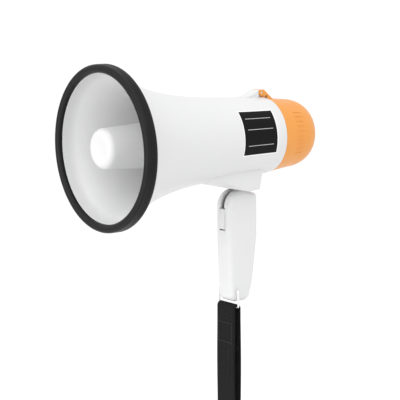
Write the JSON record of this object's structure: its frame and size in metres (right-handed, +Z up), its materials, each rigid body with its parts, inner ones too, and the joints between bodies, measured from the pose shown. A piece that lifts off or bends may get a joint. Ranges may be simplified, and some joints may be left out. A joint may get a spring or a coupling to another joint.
{
  "type": "handheld megaphone",
  "caption": "Short white handheld megaphone: re-entrant horn, rubber rim and reflector, hinged orange rear cap, folding pistol grip with trigger, webbing strap.",
  "frame": {"origin": "middle of the hand grip, under the fold pin and half-way down the grip", "axes": "+Z up, the horn's axis along Y with the bell mouth facing -Y and the microphone end at +Y"},
  "size_m": [0.16, 0.2497, 0.3697],
  "materials": {
    "white_plastic": "satin moulded ABS",
    "grip_plastic": "satin moulded ABS",
    "orange_plastic": "satin moulded ABS",
    "black_rubber": "soft gloss",
    "dark_plastic": "matt",
    "cone_film": "thin phenolic film",
    "brass": "plain",
    "steel": "zinc plated",
    "bail_wire": "white coated wire",
    "ferrite": "sintered, matt",
    "aluminium": "plain",
    "circuit_board": "solder mask",
    "board_parts": "moulded",
    "cell_jacket": "printed jacket without lettering",
    "lead_sleeve": "sleeved wire",
    "label_film": "printed film, left blank",
    "foam": "open foam",
    "switch_case": "moulded",
    "webbing": "woven nylon"
  },
  "bodies": {
    "housing": {"horn_shell": "white_plastic", "rim_ring": "black_rubber", "reflector": "white_plastic", "tone_tube": "white_plastic", "throat_screws": "steel", "driver_gasket": "black_rubber", "throat_plate": "dark_plastic", "top_plate": "steel", "magnet": "ferrite", "pole_yoke": "steel", "driver_screws": "steel", "amp_board": "circuit_board", "board_parts": "board_parts", "heat_sink": "aluminium", "board_screws": "steel", "battery_holder": "dark_plastic", "battery_cells": "cell_jacket", "contact_springs": "steel", "driver_leads": "lead_sleeve", "name_plate": "label_film", "saddle_bracket": "white_plastic", "bracket_screws": "steel", "fold_pin": "steel", "cap_pin": "steel"},
    "driver_cone": {"diaphragm": "cone_film", "voice_coil": "brass"},
    "cap": {"rear_cap": "orange_plastic", "mic_grille": "dark_plastic", "mic_foam": "foam", "microphone": "aluminium", "contact_carrier": "dark_plastic", "cap_contacts": "brass", "carrier_screws": "steel", "control_board": "circuit_board", "volume_pot": "switch_case", "mode_switch": "switch_case"},
    "volume": {"volume_wheel": "dark_plastic"},
    "mode": {"mode_slider": "dark_plastic"},
    "grip": {"grip_left": "grip_plastic", "grip_right": "grip_plastic", "grip_screws": "steel", "detent_spring": "steel", "trigger_pin": "steel", "trigger_spring": "steel", "talk_switch": "switch_case"},
    "trigger_lever": {"trigger": "grip_plastic"},
    "bail": {"strap_bail": "bail_wire"},
    "strap": {"wrist_strap": "webbing"}
  },
  "joints": [
    {"name": "grip_fold", "type": "hinge", "parent": "housing", "child": "grip", "pos_m": [0, 0, 0.04825], "axis": [-1, 0, 0], "range_deg": [0, 90]},
    {"name": "trigger_pull", "type": "hinge", "parent": "grip", "child": "trigger_lever", "pos_m": [0, -0.0119, 0.04405], "axis": [1, 0, 0], "range_deg": [0, 8], "stiffness_Nm_per_rad": 0.6, "springref_deg": -8.59, "deforming": ["trigger_spring"]},
    {"name": "bail_swing", "type": "hinge", "parent": "grip", "child": "bail", "pos_m": [0, -0.009, -0.03605], "axis": [-1, 0, 0], "range_deg": [-20, 10]},
    {"name": "strap_swing", "type": "hinge", "parent": "bail", "child": "strap", "pos_m": [0, -0.009, -0.05295], "axis": [1, 0, 0], "range_deg": [0, 90]},
    {"name": "cap_open", "type": "hinge", "parent": "housing", "child": "cap", "pos_m": [0, 0.0284, 0.16122], "axis": [1, 0, 0], "range_deg": [0, 95]},
    {"name": "volume_turn", "type": "hinge", "parent": "cap", "child": "volume", "pos_m": [-0.02863, 0.0509, 0.11775], "axis": [0, 1, 0], "range_deg": [0, 270]},
    {"name": "mode_slide", "type": "slide", "parent": "cap", "child": "mode", "axis": [0, 1, 0], "range_m": [0, 0.004]},
    {"name": "cone_travel", "type": "slide", "parent": "housing", "child": "driver_cone", "axis": [0, -1, 0], "range_m": [-0.0003, 0.0003], "stiffness_N_per_m": 1500}
  ],
  "couplings": [
    {"joint": "strap_swing", "follows": "grip_fold", "ratio": 1}
  ]
}
